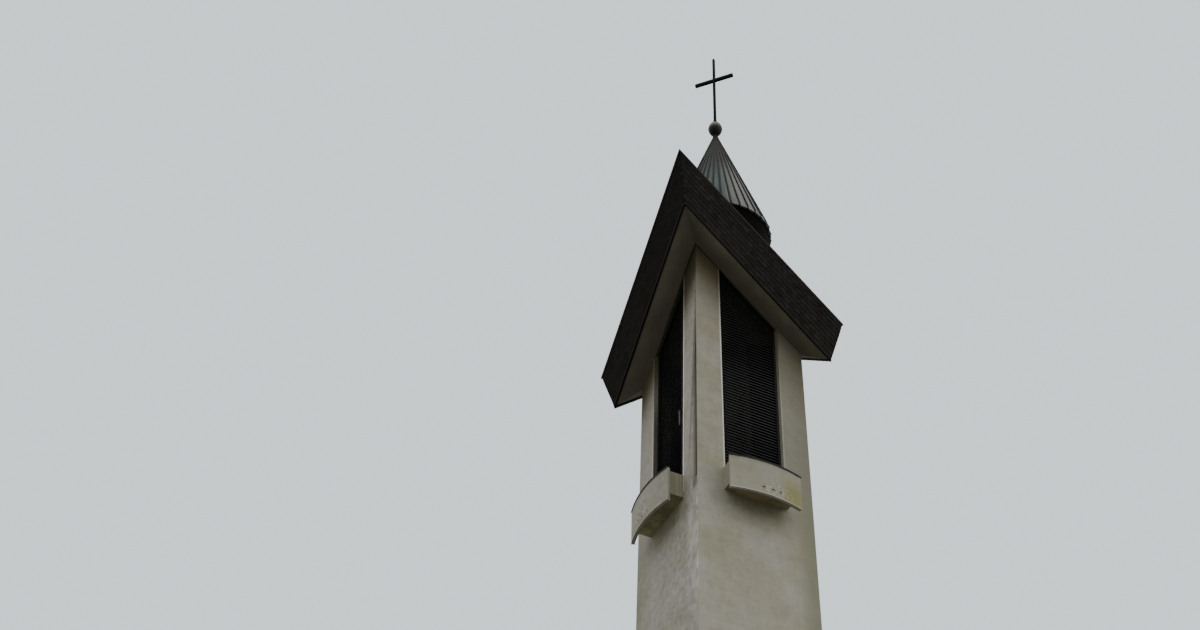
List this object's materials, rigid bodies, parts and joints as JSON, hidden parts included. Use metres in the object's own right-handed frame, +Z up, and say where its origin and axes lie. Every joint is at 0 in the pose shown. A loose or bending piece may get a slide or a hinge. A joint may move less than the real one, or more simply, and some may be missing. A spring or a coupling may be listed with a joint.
{
  "type": "modern church bell tower",
  "caption": "Slender square rendered bell tower with louvred belfry openings, curved balcony parapets, a thick diagonal-ridged shingled roof, and a turret with cone roof, ball and cross",
  "frame": {"origin": "centre of the tower's foot, at ground level on the underside of its floor", "axes": "+Z up; X and Y along the walls; the roof's ridge runs over the diagonal from (-X, -Y), the near corner, to (+X, +Y)"},
  "size_m": [5.204, 5.204, 36.56],
  "materials": {
    "plaster": "matte weathered render",
    "shingle": "matte small shingles",
    "soffit": "matte plaster",
    "louvre": "satin dark paint",
    "flashing": "satin brown sheet",
    "coping": "satin dark sheet",
    "patina": "matte grey-green patina",
    "pale_metal": "dull",
    "ironwork": "satin black",
    "door_paint": "satin paint"
  },
  "bodies": {
    "root": {"front_right_wall": "plaster", "back_right_wall": "plaster", "back_left_wall": "plaster", "front_left_wall": "plaster", "foot_floor": "plaster", "belfry_floor": "plaster", "foot_door_frame": "door_paint", "foot_door": "door_paint", "near_pier": "plaster", "right_pier": "plaster", "far_pier": "plaster", "left_pier": "plaster", "front_right_louvre": "louvre", "back_right_louvre": "louvre", "back_left_louvre": "louvre", "front_left_louvre": "louvre", "louvre_pull": "pale_metal", "front_right_balcony_trough": "plaster", "front_right_parapet": "plaster", "front_right_coping": "coping", "front_left_balcony_trough": "plaster", "front_left_parapet": "plaster", "front_left_coping": "coping", "right_roof_deck": "shingle", "right_soffit": "soffit", "near_right_fascia": "shingle", "far_right_fascia": "shingle", "right_verge_flashing": "flashing", "left_roof_deck": "shingle", "left_soffit": "soffit", "near_left_fascia": "shingle", "far_left_fascia": "shingle", "left_verge_flashing": "flashing", "turret_drum": "shingle", "cone_roof": "patina", "finial_neck": "patina", "finial_ball": "pale_metal", "cross": "ironwork"}
  },
  "joints": []
}
